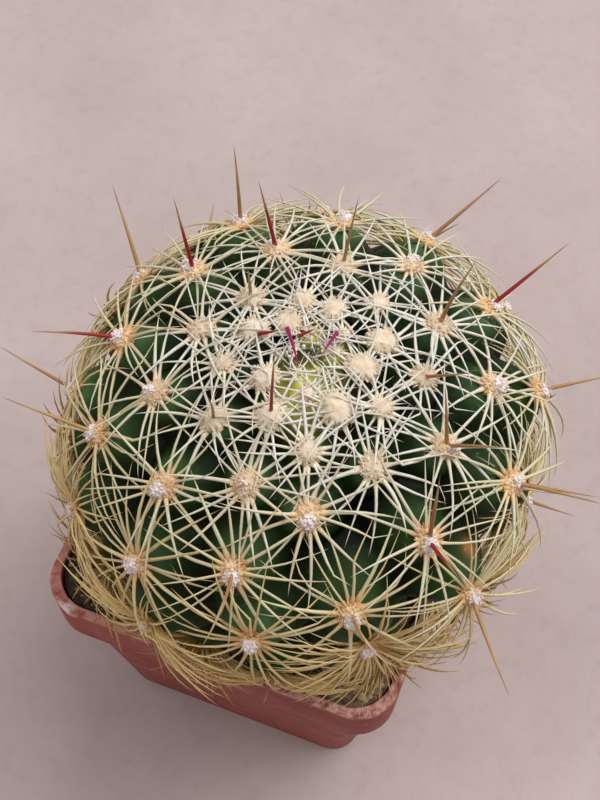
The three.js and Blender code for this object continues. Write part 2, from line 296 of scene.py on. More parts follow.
# Young central spines at the crown: areole number, length in mm, lean, turn, how magenta it is rather
# than dark red, and the place of its root on the pad, in mm downhill and across. Then how high on
# the pad these and the others root, in mm
YOUNG_CENTRALS = [
    (-6, 10, 74, 162, 1.0, -1.6, 1.1), (-8, 5.5, 70, -156, 1.0, -1.2, 0.2),
    (-14, 3, 65, -137, 0.5, 0.2, -0.8), (-1, 4, 65, -172, 0.4, -1.5, 0.8),
]
YOUNG_ROOT_HEIGHT = 1.3
ROOT_HEIGHT = 0.5

# Widths of the pads that stand out near the crown, in mm; the others have a common width, and the
# buds' pads are small. Then half the length, half the width and the height of a pad of width one,
# and the share of that which its dome reaches, its scallops and its grain apart
PAD_WIDTHS = {-13: 1.7, -11: 1.5, -8: 2.4, -7: 2.3, -6: 4.2, -5: 4.8, -4: 4.4, -3: 4.2, -2: 5.4,
              -1: 4.6, 0: 4.7, 1: 4.9, 2: 3.6, 3: 3.4, 4: 3.2, 5: 3.2, 6: 3.6, 8: 3.8}
PAD_WIDTH = 4.1
BUD_WIDTH = 0.9
PAD_SHAPE = (0.54, 0.48, 0.36)
PAD_DOME = 0.84

# Scallops round a pad's rim: the fewest, and one more than the most, where they fade in, in degrees
# from its top, and how deep they and the pad's grain are
SCALLOPS = (13, 18)
SCALLOPED_RIM = (25, 65)
SCALLOP_DEPTH = 0.3
PAD_GRAIN = 0.1

# What lies on a pad: how many there are at most, how far down from its top the first and the last
# are, as shares of its height, and how long and thick they are in mm. Rays lie round its rim, where
# the spines spring, and grains on its top. Then how far out from its middle both lie, as a share
RAYS = (34, (0.56, 0.96), (0.6, 1.0), (0.14, 0.2))
GRAINS = (40, (0, 0.8), (0.28, 0.42), (0.2, 0.3))
RAY_ROOT = 0.86

# Between which areoles the pads turn grainy, and their white tufts grow to full size
GRAINY_FROM = 8
GRAINY_FULL = 18
WOOL_FROM = 13
WOOL_FULL = 20

# A full tuft's size downhill, across and outward, the share of it that the least have, and how many
# grains and hairs a tuft has at least, and how many more a full one
TUFT_SIZE = (1.5 * MM, 1.25 * MM, 0.95 * MM)
LEAST_TUFT = 0.45
TUFT_GRAINS = (12, 38)
TUFT_HAIRS = (6, 18)

# The sizes of wool's grains and hairs, and how much a hair curls, in radians
WOOL_GRAINS = (0.13 * MM, 0.3 * MM)
HAIR_LENGTHS = (0.7 * MM, 1.6 * MM)
HAIR_RADIUS = 0.05 * MM
HAIR_CURL = 0.9

# Loose fluff at the top of the plant: mm towards +X and +Y of its middle, and how wide, then how many
# grains and hairs each has
APEX_FLUFF = [(0, 0, 2.2), (-3.5, -1.5, 1.6), (2.5, 2.0, 1.5)]
FLUFF_GRAINS = 10
FLUFF_HAIRS = 22

# The camera: where it stands about the stem's centre, and where the stem's centre shows
VIEW_AZIMUTH = 19.58
VIEW_ELEVATION = 64.10
VIEW_DISTANCE = 5.2 * AREOLE_RADIUS
VIEW_ROLL = 1.27
PHOTO_WIDTH = 600
PHOTO_HEIGHT = 800
STEM_PIXEL = (311.6, 438.7)
PIXELS_PER_RADIUS = 245.3
SENSOR = 36.0

# What the solids say: the pot's rim and ledge, the mix, and the stem's centre
pot_low, pot_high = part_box("pot")
soil_low, soil_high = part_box("soil")
RIM_HEIGHT = pot_high.z
RIM_SIDE = pot_high.x - pot_low.x
LEDGE_HEIGHT = RIM_HEIGHT - COLLAR_HEIGHT + WALL
SOIL_TOP = RIM_HEIGHT - SOIL_BELOW_RIM
SOIL_HALF = soil_high.x
SOIL_CORNER = CORNER_RADIUS * 2 * SOIL_HALF / RIM_SIDE
STEM_CENTRE = Vector((*STEM_OFFSET, RIM_HEIGHT + RIM_TO_WAIST))

# White crust on the pot, on the outer edge of its rim near one corner, and how far it reaches, then
# the heights between which the rim turns powdery
RIM_CRUST = (-27 * MM, -RIM_SIDE / 2, RIM_HEIGHT - 0.5 * MM)
CRUST_REACH = 2.6 * MM
POWDER_FROM = RIM_HEIGHT - 1.5 * MM
POWDER_FULL = RIM_HEIGHT - 0.3 * MM


def view_camera():
    """A camera that looks down on the plant from its front."""
    azimuth = math.radians(VIEW_AZIMUTH)
    elevation = math.radians(VIEW_ELEVATION)
    out = Vector((
        math.sin(azimuth) * math.cos(elevation),
        -math.cos(azimuth) * math.cos(elevation),
        math.sin(elevation),
    ))
    bpy.ops.object.camera_add(location=STEM_CENTRE + VIEW_DISTANCE * out)
    camera = bpy.context.object
    roll = Quaternion((0, 0, 1), math.radians(VIEW_ROLL))
    camera.rotation_euler = (out.to_track_quat("Z", "Y") @ roll).to_euler()
    focal_pixels = PIXELS_PER_RADIUS * VIEW_DISTANCE / AREOLE_RADIUS
    camera.data.sensor_width = SENSOR
    camera.data.lens = focal_pixels * SENSOR / PHOTO_HEIGHT
    camera.data.shift_x = -(STEM_PIXEL[0] - PHOTO_WIDTH / 2) / PHOTO_HEIGHT
    camera.data.shift_y = (STEM_PIXEL[1] - PHOTO_HEIGHT / 2) / PHOTO_HEIGHT
    camera.data.clip_start = 0.01
    bpy.context.scene.camera = camera


view_camera()
bpy.ops.object.select_all(action="DESELECT")
bpy.context.scene.view_settings.view_transform = "Standard"


# Growth rule, the same as the solids'

def ease(value, low, high):
    """From 0 at one value to 1 at another, straight between them and level past them."""
    return np.clip((value - low) / (high - low), 0, 1)


def facing(turn, side):
    """1 for what faces a side of the plant, down to 0 a quarter turn from it."""
    return np.maximum(np.cos(turn - math.radians(side)), 0)


def waist_share(theta):
    """From 0 above the waist to 1 below it, at an angle from the plant's top."""
    part = ease(np.degrees(theta), FLAT_FROM, FLAT_TO)
    return part * part * (3 - 2 * part)


def girth(theta, turn):
    """How far out the plant reaches at an angle from its top and a turn round it, next to its plain
    spheroid."""
    return 1 - FLATTENING * waist_share(theta) * facing(turn, 0)


def valley_gain(theta, turn):
    """How much deeper the valleys are than elsewhere: more so on the flatter side."""
    return 1 + DEEPER_VALLEYS * waist_share(theta) * facing(turn, FLATTER_SIDE)


def loose_lift(turn):
    """How many degrees the lowest spines lift, on and near the sides where they stand loose."""
    return sum(lift * facing(turn, side) ** LOOSE_NARROWNESS for side, lift in LOOSE_SIDES.items())


class Areole:
    """One areole: its number, its age, its place about the stem's centre, its directions, the curve
    of the plant downhill of it, and its spacing."""

    def __init__(self, number):
        steps = number + STEPS_TO_FIRST
        theta = math.pi / 2 * (steps / STEPS_TO_WAIST) ** GROWTH
        turn = math.radians(FIRST_TURN - number * DIVERGENCE)
        ring = Vector((math.cos(turn), math.sin(turn), 0))
        height = AREOLE_HEIGHT if math.cos(theta) > 0 else AREOLE_DROP
        side, top = math.sin(theta), math.cos(theta)
        self.number = number
        self.age = theta / math.pi
        self.outward = (ring * side / AREOLE_RADIUS + Vector((0, 0, top / height))).normalized()
        self.downhill = (ring * AREOLE_RADIUS * top - Vector((0, 0, height * side))).normalized()
        self.across = self.outward.cross(self.downhill)
        reach = AREOLE_RADIUS * float(girth(theta, turn))
        down, aside = STRAYS.get(number, (0, 0))
        self.place = ring * reach * side + Vector((0, 0, height * top))
        self.place += self.downhill * down * MM + self.across * aside * MM
        self.place -= self.outward * SUNK * float(ease(math.degrees(theta), SUNK_FROM, SUNK_TO))
        arc = math.hypot(AREOLE_RADIUS * top, height * side)
        self.curve = AREOLE_RADIUS * height / arc ** 3
        self.spacing = AREOLE_RADIUS * math.sqrt(PACKING * 2 * math.pi * side * GROWTH * theta / steps)

    def grown(self):
        """How full-grown its spines are: 1 where it has full room."""
        return min(1, CROWDED_GROWN + (1 - CROWDED_GROWN) * self.spacing / RADIAL_FULL_SPACING)

    def basis(self):
        return np.array([self.downhill, self.across, self.outward])

    def pad_size(self):
        """Half the length, half the width and the height of its pad."""
        width = PAD_WIDTHS.get(self.number, BUD_WIDTH if self.number <= BUDS_UNTIL else PAD_WIDTH)
        return np.array(PAD_SHAPE) * (width * MM)


def all_areoles():
    first = math.ceil(YOUNGEST_STEP - STEPS_TO_FIRST)
    last = math.floor(OLDEST_STEP - STEPS_TO_FIRST)
    return [Areole(number) for number in range(first, last + 1)]


areoles = all_areoles()


def even_draws(seed):
    """The solids' own generator of even draws, so that the same spines stand in the same places."""
    multiplier, modulus = 16807, 2147483647
    state = seed
    while True:
        state = state * multiplier % modulus
        yield state / modulus


# Modelling helpers

def edit_mode():
    bpy.ops.object.mode_set(mode="EDIT")
    return bmesh.from_edit_mesh(bpy.context.object.data)


def object_mode():
    bpy.ops.object.mode_set(mode="OBJECT")


def pick(mesh, faces=None, edges=None):
    """Selects the faces or edges that a test is true for, in edit mode."""
    bpy.ops.mesh.select_all(action="DESELECT")
    bpy.ops.mesh.select_mode(type="FACE" if faces else "EDGE")
    for item in (mesh.faces if faces else mesh.edges):
        item.select_set(bool((faces or edges)(item)))
    bmesh.update_edit_mesh(bpy.context.object.data)


def draw_out(start, *stations, level_first=False):
    """Extrudes what is picked through stations, each a height and a side, from the one that it has.
    An uneven start is made level at the first station."""
    height, side = start
    for next_height, next_side in stations:
        bpy.ops.mesh.extrude_region_move(TRANSFORM_OT_translate={"value": (0, 0, next_height - height)})
        ratio = next_side / side
        upright = 0 if level_first and (height, side) == start else 1
        bpy.ops.transform.resize(value=(ratio, ratio, upright), center_override=(0, 0, next_height))
        height, side = next_height, next_side


def select(piece, *others):
    """Selects pieces alone, with the first as the active one."""
    bpy.ops.object.select_all(action="DESELECT")
    for one in (piece, *others):
        one.select_set(True)
    bpy.context.view_layer.objects.active = piece


def apply_modifier(piece, kind, **values):
    modifier = piece.modifiers.new(kind.title(), kind)
    for name, value in values.items():
        setattr(modifier, name, value)
    bpy.context.view_layer.objects.active = piece
    bpy.ops.object.modifier_apply(modifier=modifier.name)


def settle(piece):
    """Puts a piece's place into its mesh, so that its object sits at the origin."""
    select(piece)
    bpy.ops.object.transform_apply(location=True, rotation=True, scale=True)


def join(piece, other):
    """Makes another piece's mesh part of a piece's."""
    select(piece, other)
    bpy.ops.object.join()


def drill(piece, place, radius, depth):
    bpy.ops.mesh.primitive_cylinder_add(vertices=32, radius=radius, depth=depth, location=place)
    cutter = bpy.context.object
    apply_modifier(piece, "BOOLEAN", operation="DIFFERENCE", object=cutter, solver="EXACT")
    bpy.data.objects.remove(cutter)


def take_shape(piece):
    """The points of a modelled piece, and its faces in groups of the same size. The piece goes."""
    points = np.array([v.co for v in piece.data.vertices])
    faces = {}
    for polygon in piece.data.polygons:
        faces.setdefault(len(polygon.vertices), []).append(list(polygon.vertices))
    bpy.data.objects.remove(piece)
    return points, [np.array(group) for group in faces.values()]


def ball(subdivisions):
    """Points and faces of a ball of small triangles, one in radius."""
    bpy.ops.mesh.primitive_ico_sphere_add(subdivisions=subdivisions, radius=1, location=(0, 0, 0))
    points, (faces,) = take_shape(bpy.context.object)
    return points, faces


def uneven(points, coarse, fine, fine_share, shift=Vector()):
    """A number for each point, wavy with coarse lumps and with a share of fine ones."""
    def wave(point, scale):
        return noise.noise(Vector(point) * scale + shift)

    return np.array([wave(point, coarse) + fine_share * wave(point, fine) for point in points])


def give_numbers(mesh, **numbers):
    """Gives each point of a mesh one number by name, for its material to read."""
    for name, values in numbers.items():
        layer = mesh.attributes.new(name, "FLOAT", "POINT")
        layer.data.foreach_set("value", np.asarray(values, np.float32))


def smooth(mesh):
    mesh.polygons.foreach_set("use_smooth", np.ones(len(mesh.polygons), bool))


def new_mesh_piece(name, points, faces, **numbers):
    """A piece from arrays: points, faces of one or more sizes, and one number a point by name."""
    mesh = bpy.data.meshes.new(name)
    loops = np.concatenate([group.ravel() for group in faces]).astype(np.int32)
    sizes = np.concatenate([np.full(len(group), group.shape[1]) for group in faces])
    starts = np.concatenate([[0], np.cumsum(sizes)[:-1]]).astype(np.int32)
    mesh.vertices.add(len(points))
    mesh.vertices.foreach_set("co", np.asarray(points, np.float32).ravel())
    mesh.loops.add(len(loops))
    mesh.loops.foreach_set("vertex_index", loops)
    mesh.polygons.add(len(sizes))
    mesh.polygons.foreach_set("loop_start", starts)
    smooth(mesh)
    mesh.update(calc_edges=True)
    mesh.validate()
    give_numbers(mesh, **numbers)
    piece = bpy.data.objects.new(name, mesh)
    bpy.context.scene.collection.objects.link(piece)
    return piece


class Lumps:
    """Many small closed shapes about a centre, gathered into one mesh, with one number for each."""

    def __init__(self, centre=(0, 0, 0)):
        self.centre = np.array(centre)
        self.points, self.faces, self.values, self.count = [], [], [], 0

    def add(self, points, faces, value=0.0):
        self.faces.append(faces + self.count)
        self.points.append(points)
        self.values.append(np.full(len(points), value))
        self.count += len(points)

    def piece(self, name, value_name=None):
        numbers = {value_name: np.concatenate(self.values)} if value_name else {}
        points = np.concatenate(self.points) + self.centre
        return new_mesh_piece(name, points, [np.concatenate(self.faces)], **numbers)


def dress(piece, material, slot, *nodes):
    piece.data.materials.clear()
    piece.data.materials.append(material)
    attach(piece, "root")
    if nodes:
        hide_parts(*nodes)


# Materials

class Nodes:
    """A material's node tree, with short words for the nodes used here."""

    def __init__(self, name, roughness, **uniform):
        self.material = bpy.data.materials.new(name)
        self.material.use_nodes = True
        self.tree = self.material.node_tree
        self.shader = self.tree.nodes["Principled BSDF"]
        self.shader.inputs["Roughness"].default_value = roughness
        for socket, value in uniform.items():
            self.shader.inputs[socket.replace("_", " ")].default_value = value

    def feed(self, target, source):
        """Links a node's output to an input, or sets the input to a plain value."""
        if isinstance(source, bpy.types.NodeSocket):
            self.tree.links.new(source, target)
        else:
            target.default_value = source

    def add(self, kind, inputs, **settings):
        node = self.tree.nodes.new("ShaderNode" + kind)
        for name, value in settings.items():
            setattr(node, name, value)
        for name, source in inputs.items():
            self.feed(node.inputs[name], source)
        return node

    def place(self):
        return self.add("TexCoord", {}).outputs["Object"]

    def axis(self, name):
        return self.add("SeparateXYZ", {"Vector": self.place()}).outputs[name]

    def attribute(self, name):
        return self.add("Attribute", {}, attribute_name=name).outputs["Fac"]

    def noise(self, scale, detail=3.0, rough=0.55):
        inputs = {"Vector": self.place(), "Scale": scale, "Detail": detail, "Roughness": rough}
        return self.add("TexNoise", inputs).outputs["Fac"]

    def ramp(self, factor, *stops):
        """Colours from stop to stop, each a place from 0 to 1 and a colour."""
        node = self.add("ValToRGB", {"Fac": factor})
        ramp = node.color_ramp
        while len(ramp.elements) < len(stops):
            ramp.elements.new(0.5)
        for element, (position, color) in zip(ramp.elements, stops):
            element.position = position
            element.color = (*color, 1)
        return node.outputs["Color"]

    def mix(self, factor, first, second):
        """The first colour, and the second where the factor is 1."""
        if not isinstance(second, bpy.types.NodeSocket):
            second = (*second, 1)
        return self.add("Mix", {0: factor, 6: first, 7: second}, data_type="RGBA").outputs[2]

    def scaled(self, value, low, high, to_low=0.0, to_high=1.0):
        """A value carried from one range to another, and level past its ends."""
        inputs = {
            "Value": value, "From Min": low, "From Max": high, "To Min": to_low, "To Max": to_high,
        }
        return self.add("MapRange", inputs).outputs["Result"]

    def times(self, first, second):
        return self.add("Math", {0: first, 1: second}, operation="MULTIPLY").outputs[0]

    def near(self, point, reach):
        """1 at a point, down to 0 at a reach from it."""
        node = self.add("VectorMath", {0: self.place(), 1: point}, operation="DISTANCE")
        return self.scaled(node.outputs["Value"], reach, 0.4 * reach)

    def color(self, source):
        self.feed(self.shader.inputs["Base Color"], source)

    def rough(self, source):
        self.feed(self.shader.inputs["Roughness"], source)

    def bump(self, height, strength, distance):
        node = self.add("Bump", {"Strength": strength, "Distance": distance, "Height": height})
        self.feed(self.shader.inputs["Normal"], node.outputs["Normal"])


def flesh_material():
    """Dark green flesh with a painted highlight of paler green on the tubercles' shoulders, and
    painted shade near black in the valleys.
    """
    n = Nodes("waxy_green_flesh", 0.5, Specular_IOR_Level=0.1)
    base = n.ramp(n.noise(160, 4), (0.3, (0.014, 0.04, 0.007)), (0.7, (0.032, 0.08, 0.018)))
    valley = n.attribute("valley")
    # Painted highlight: a paler green on the tubercles' shoulders, fading out towards the valleys.
    shoulder = n.times(n.scaled(n.noise(45, 3), 0.4, 0.63), n.scaled(valley, 0.5, 0.13))
    painted_highlight = n.mix(shoulder, base, (0.115, 0.24, 0.098))
    speck = n.scaled(n.noise(1400, 2, 0.4), 0.69, 0.75, 0, 0.35)
    flecked = n.mix(speck, painted_highlight, (0.4, 0.5, 0.38))
    # Painted shade: the valleys between the tubercles are coloured near black.
    dark = n.mix(n.scaled(valley, 0.26, 0.72), flecked, (0.002, 0.004, 0.001))
    young = n.mix(n.attribute("fresh"), dark, (0.95, 0.92, 0.2))
    cork = n.mix(n.scaled(n.attribute("age"), 0.66, 0.8), young, (0.12, 0.07, 0.03))
    n.color(n.mix(n.attribute("corky"), cork, (0.62, 0.24, 0.07)))
    n.rough(n.scaled(n.noise(300), 0.3, 0.7, 0.42, 0.6))
    n.bump(n.noise(700, 5), 0.35, 0.25 * MM)
    return n.material


def spine_material():
    """Radial spines: orange-cream at the root, white on the crown, ivory on the flank, straw below."""
    n = Nodes("straw_and_ivory_spine", 0.4)
    age, along = n.attribute("age"), n.attribute("along")
    body = n.ramp(age, (0.1, (0.7, 0.71, 0.67)), (0.25, (0.58, 0.57, 0.4)), (0.38, (0.62, 0.54, 0.3)),
                  (0.48, (0.74, 0.56, 0.25)), (0.66, (0.66, 0.44, 0.14)))
    # The age and tone numbers also hold painted light: spines on the lit side come out paler.
    toned = n.mix(n.scaled(n.attribute("tone"), 0, 1, 0, 0.6), body, (0.56, 0.35, 0.13))
    cream = n.ramp(age, (0.12, (0.86, 0.76, 0.58)), (0.25, (0.74, 0.48, 0.22)), (0.6, (0.62, 0.34, 0.1)))
    root = n.mix(n.scaled(along, 0.2, 0.03, 0, 0.85), toned, cream)
    n.color(n.mix(n.scaled(along, 0.72, 1.0, 0, 0.35), root, (0.5, 0.33, 0.18)))
    n.bump(n.noise(2500, 2), 0.15, 0.05 * MM)
    return n.material


def central_material():
    """Central spines: tan with a brown tip, some crimson up from the root, young ones magenta."""
    n = Nodes("tan_and_crimson_spine", 0.36, Specular_IOR_Level=0.3)
    along, red, young = n.attribute("along"), n.attribute("red"), n.attribute("young")
    tan = n.ramp(along, (0.0, (0.5, 0.3, 0.12)), (0.2, (0.36, 0.2, 0.08)), (0.7, (0.42, 0.27, 0.13)),
                 (1.0, (0.16, 0.08, 0.04)))
    reach = n.ramp(along, (0.0, (0.4, 0.4, 0.4)), (0.12, (1, 1, 1)), (0.5, (0.9, 0.9, 0.9)),
                   (0.75, (0, 0, 0)))
    stained = n.mix(n.times(reach, red), tan, (0.27, 0.008, 0.012))
    fresh_red = n.ramp(young, (0.5, (0.24, 0.008, 0.014)), (1.0, (0.27, 0.006, 0.08)))
    n.color(n.mix(n.scaled(young, 0, 0.4), stained, fresh_red))
    return n.material


def pad_material():
    """Areole pads: cream felt on the crown, orange-cream on older ones."""
    n = Nodes("cream_orange_areole", 0.85, Sheen_Weight=0.3)
    grain = n.ramp(n.noise(900, 4), (0.35, (0.56, 0.28, 0.1)), (0.5, (0.72, 0.48, 0.24)),
                   (0.7, (0.78, 0.64, 0.43)))
    felt = n.ramp(n.noise(700, 4), (0.35, (0.63, 0.49, 0.34)), (0.65, (0.73, 0.65, 0.51)))
    n.color(n.mix(n.scaled(n.attribute("age"), 0.27, 0.12), grain, felt))
    n.bump(n.noise(1500, 4), 0.5, 0.15 * MM)
    return n.material


def wool_material():
    n = Nodes("white_areole_wool", 0.9, Sheen_Weight=0.2)
    n.color(n.ramp(n.noise(900, 4), (0.3, (0.66, 0.55, 0.54)), (0.6, (0.84, 0.77, 0.76))))
    n.bump(n.noise(2600, 5), 0.8, 0.15 * MM)
    return n.material


def pot_material():
    """Terracotta-coloured plastic, powdery along its rim, with white crust near one corner of it."""
    n = Nodes("dusty_terracotta_plastic", 0.55, Specular_IOR_Level=0.3)
    base = n.ramp(n.noise(30, 4), (0.35, (0.25, 0.049, 0.039)), (0.65, (0.335, 0.071, 0.056)))
    dust = n.scaled(n.noise(120, 6, 0.7), 0.52, 0.75, 0, 0.16)
    dusty = n.mix(dust, base, (0.42, 0.22, 0.19))
    speck = n.scaled(n.noise(900, 3, 0.6), 0.66, 0.74, 0, 0.45)
    specked = n.mix(speck, dusty, (0.6, 0.48, 0.43))
    on_rim = n.scaled(n.axis("Z"), POWDER_FROM, POWDER_FULL)
    dustier = n.scaled(n.axis("X"), -RIM_SIDE / 2, RIM_SIDE / 2, 0.5, 1)
    powder = n.times(n.times(on_rim, dustier), n.scaled(n.noise(420, 6, 0.75), 0.4, 0.58))
    powdered = n.mix(powder, specked, (0.74, 0.45, 0.37))
    ragged = n.times(n.near(RIM_CRUST, CRUST_REACH), n.scaled(n.noise(700, 4), 0.35, 0.55))
    n.color(n.mix(ragged, powdered, (0.75, 0.66, 0.64)))
    n.rough(n.scaled(n.noise(200), 0.3, 0.7, 0.45, 0.7))
    n.bump(n.noise(260, 5), 0.25, 0.3 * MM)
    return n.material


def mix_material():
    """Potting mix: dark fibre with crumbs whose tone is their own, with painted light in its +X
    corners and painted shade in the others.
    """
    n = Nodes("dark_gritty_mix", 0.95)
    tone = n.ramp(n.attribute("tone"), (0.0, (0.05, 0.034, 0.023)), (0.5, (0.16, 0.105, 0.065)),
                  (0.8, (0.42, 0.3, 0.19)), (1.0, (0.66, 0.54, 0.4)))
    n.color(n.mix(n.scaled(n.noise(1200, 4), 0.35, 0.8, 0, 0.5), tone, (0.03, 0.02, 0.014)))
    n.bump(n.noise(1800, 5), 0.9, 0.3 * MM)
    return n.material


def floor_material():
    n = Nodes("mottled_paper", 0.9)
    base = n.ramp(n.noise(18, 6, 0.6), (0.3, (0.4, 0.33, 0.325)), (0.7, (0.48, 0.405, 0.4)))
    n.color(n.mix(n.scaled(n.noise(250, 5), 0.5, 0.8, 0, 0.35), base, (0.33, 0.265, 0.25)))
    n.bump(n.noise(500, 4), 0.2, 0.5 * MM)
    return n.material


# Pot

def wall_side(height):
    """Side of the pot's outer wall at a height, without the collar."""
    return BASE_SIDE + (RIM_SIDE - 2 * COLLAR_PROUD - BASE_SIDE) * height / RIM_HEIGHT


def bore_side(height):
    """Side of the room inside the pot at a height under its ledge."""
    return wall_side(height) - 2 * WALL


def make_pot():
    """A slab the size of the collar, rounded at its corners, drawn down from below into the tapered
    wall, hollowed from above with a ledge behind the collar, and drilled."""
    bpy.ops.mesh.primitive_cube_add(size=1, location=(0, 0, RIM_HEIGHT - COLLAR_HEIGHT / 2))
    pot = bpy.context.object
    pot.name = pot.data.name = "square_pot"
    pot.scale = (RIM_SIDE, RIM_SIDE, COLLAR_HEIGHT)
    settle(pot)
    mesh = edit_mode()
    pick(mesh, edges=lambda e: abs(e.verts[0].co.z - e.verts[1].co.z) > COLLAR_HEIGHT / 2)
    bpy.ops.mesh.bevel(offset=CORNER_RADIUS, segments=12, profile=0.5)

    mesh = bmesh.from_edit_mesh(pot.data)
    pick(mesh, faces=lambda f: f.normal.z < -0.9)
    collar = RIM_HEIGHT - COLLAR_HEIGHT
    draw_out((collar, RIM_SIDE), (collar, wall_side(collar)), (0, wall_side(0)))

    mesh = bmesh.from_edit_mesh(pot.data)
    pick(mesh, faces=lambda f: f.normal.z > 0.9 and f.calc_center_median().z > collar + MM)
    inside = RIM_SIDE - 2 * COLLAR_WALL
    draw_out((RIM_HEIGHT, RIM_SIDE), (RIM_HEIGHT, inside), (LEDGE_HEIGHT + COLLAR_STEP, inside),
             (LEDGE_HEIGHT, bore_side(LEDGE_HEIGHT)), (FLOOR_THICKNESS, bore_side(FLOOR_THICKNESS)))
    object_mode()
    for x in (-DRAIN_OFFSET, DRAIN_OFFSET):
        for y in (-DRAIN_OFFSET, DRAIN_OFFSET):
            drill(pot, (x, y, 0), DRAIN_RADIUS, 3 * FLOOR_THICKNESS)
    apply_modifier(pot, "BEVEL", width=LIP_ROUND, segments=4, limit_method="ANGLE",
                   angle_limit=math.radians(40), use_clamp_overlap=True)
    select(pot)
    bpy.ops.object.shade_smooth_by_angle(angle=math.radians(35))
    dress(pot, pot_material(), "pot_plastic", "pot")


# Potting mix

def rounded(flat, half, corner):
    """Moves points of a square of half a side into the same square with round corners."""
    inner = half - corner
    over = np.maximum(np.abs(flat) - inner, 0)
    length = np.hypot(over[:, 0], over[:, 1])
    reach = np.maximum(over[:, 0], over[:, 1])
    shrink = np.where(length > 0, reach / np.maximum(length, 1e-9), 1)
    return np.sign(flat) * (np.minimum(np.abs(flat), inner) + over * shrink[:, None])


def heaped(x, y):
    """From 0 in the middle of the mix to 1 in the pot's corners."""
    return ease(math.hypot(x, y), HEAP_FROM, HEAP_TO)


# Painted light and shade: a tone that is paler in the +X corners of the mix and darker in the others.
def paler(x, y):
    return PALER_MIX * heaped(x, y) * x / SOIL_HALF


def mix_height(x, y):
    """Height of the top of the mix: uneven, and heaped towards the pot's corners."""
    rough = 0.7 * noise.noise(Vector((x, y, 0)) * 230) + 0.5 * noise.noise(Vector((x, y, 3)) * 700)
    return SOIL_TOP + (rough - 0.4) * MM + CORNER_HEAP * heaped(x, y)


def on_mix(x, y, margin):
    """True for a place on top of the mix that is at least a margin from its edge."""
    corner = SOIL_CORNER - margin
    over = [max(0, abs(value) - (SOIL_HALF - margin - corner)) for value in (x, y)]
    return math.hypot(*over) < corner


def make_soil():
    """A fine uneven sheet with round corners, drawn down into a block, and crumbs strewn on it."""
    rng = np.random.default_rng(SEED)
    bpy.ops.mesh.primitive_grid_add(x_subdivisions=110, y_subdivisions=110, size=2 * SOIL_HALF)
    block = bpy.context.object
    block.name = block.data.name = "potting_mix"
    flat = rounded(np.array([v.co.xy for v in block.data.vertices]), SOIL_HALF, SOIL_CORNER)
    for vertex, (x, y) in zip(block.data.vertices, flat):
        vertex.co = (x, y, mix_height(x, y))
    mesh = edit_mode()
    pick(mesh, edges=lambda e: e.is_boundary)
    draw_out((SOIL_TOP, 2 * SOIL_HALF), (LEDGE_HEIGHT + COLLAR_STEP, 2 * SOIL_HALF),
             (LEDGE_HEIGHT, bore_side(LEDGE_HEIGHT) - 2 * GAP),
             (soil_low.z, bore_side(soil_low.z) - 2 * GAP), level_first=True)
    bpy.ops.mesh.edge_face_add()
    bpy.ops.mesh.select_all(action="SELECT")
    bpy.ops.mesh.normals_make_consistent(inside=False)
    object_mode()
    points = block.data.vertices
    # The tone holds painted light and shade: paler in the +X corners, darker in the others.
    tone = rng.uniform(0.12, 0.6, len(points)) + np.array([paler(v.co.x, v.co.y) for v in points])
    give_numbers(block.data, tone=tone)
    join(block, make_crumbs(rng))
    dress(block, mix_material(), "potting_mix", "soil")


def make_crumbs(rng):
    """Crumbs, grit and fibres: one lump modelled, then copied at many sizes, shapes and turns."""
    points, faces = ball(1)
    crumbs = Lumps()
    for index in range(CRUMBS):
        x, y = rng.uniform(-SOIL_HALF, SOIL_HALF, 2)
        # The tone holds painted light and shade: paler in the +X corners, darker in the others.
        tone = rng.choice(CRUMB_TONES, p=TONE_SHARES) + paler(x, y)
        size = (LEAST_CRUMB + LARGER_CRUMB * rng.uniform() ** 2) * MM
        shape = points * (1 + 0.22 * rng.standard_normal((len(points), 1)))
        stretch = rng.uniform(0.6, 1.1, 3)
        if index % FIBRE_EVERY == 0:
            stretch = np.array(FIBRE_STRETCH)
        spin = Quaternion(Vector(rng.standard_normal(3)).normalized(), rng.uniform(0, 6.28))
        shape = (shape * stretch * size) @ np.array(spin.to_matrix()).T
        if on_mix(x, y, size * stretch.max()):
            crumbs.add(shape + np.array([x, y, mix_height(x, y) + 0.3 * size]), faces, tone)
    return crumbs.piece("crumbs", "tone")


# Stem

def neck_reach(unit):
    """How far the corky neck reaches from the stem's centre in each direction below it: a straight
    side that stands in the mix, then a flare up into the flesh, and nothing above the flare."""
    bottom = STEM_CENTRE.z - (SOIL_TOP - HOLE_DEPTH + GAP)
    surface = bottom - HOLE_DEPTH - NECK_ABOVE_MIX
    flat = np.maximum(np.hypot(unit[:, 0], unit[:, 1]), 1e-6)
    down = np.maximum(-unit[:, 2], 1e-6)
    side = NECK_RADIUS / flat
    spread = NECK_RADIUS * (NECK_FLARE - 1) / NECK_FLARE_RISE
    cone = (NECK_RADIUS + spread * surface) / (flat + spread * down)
    reach = np.minimum(np.where(side * down > surface, side, cone), bottom / down)
    flare_slope = (surface - NECK_FLARE_RISE) / (NECK_RADIUS * NECK_FLARE)
    return np.where(-unit[:, 2] > flare_slope * flat, reach, 0)


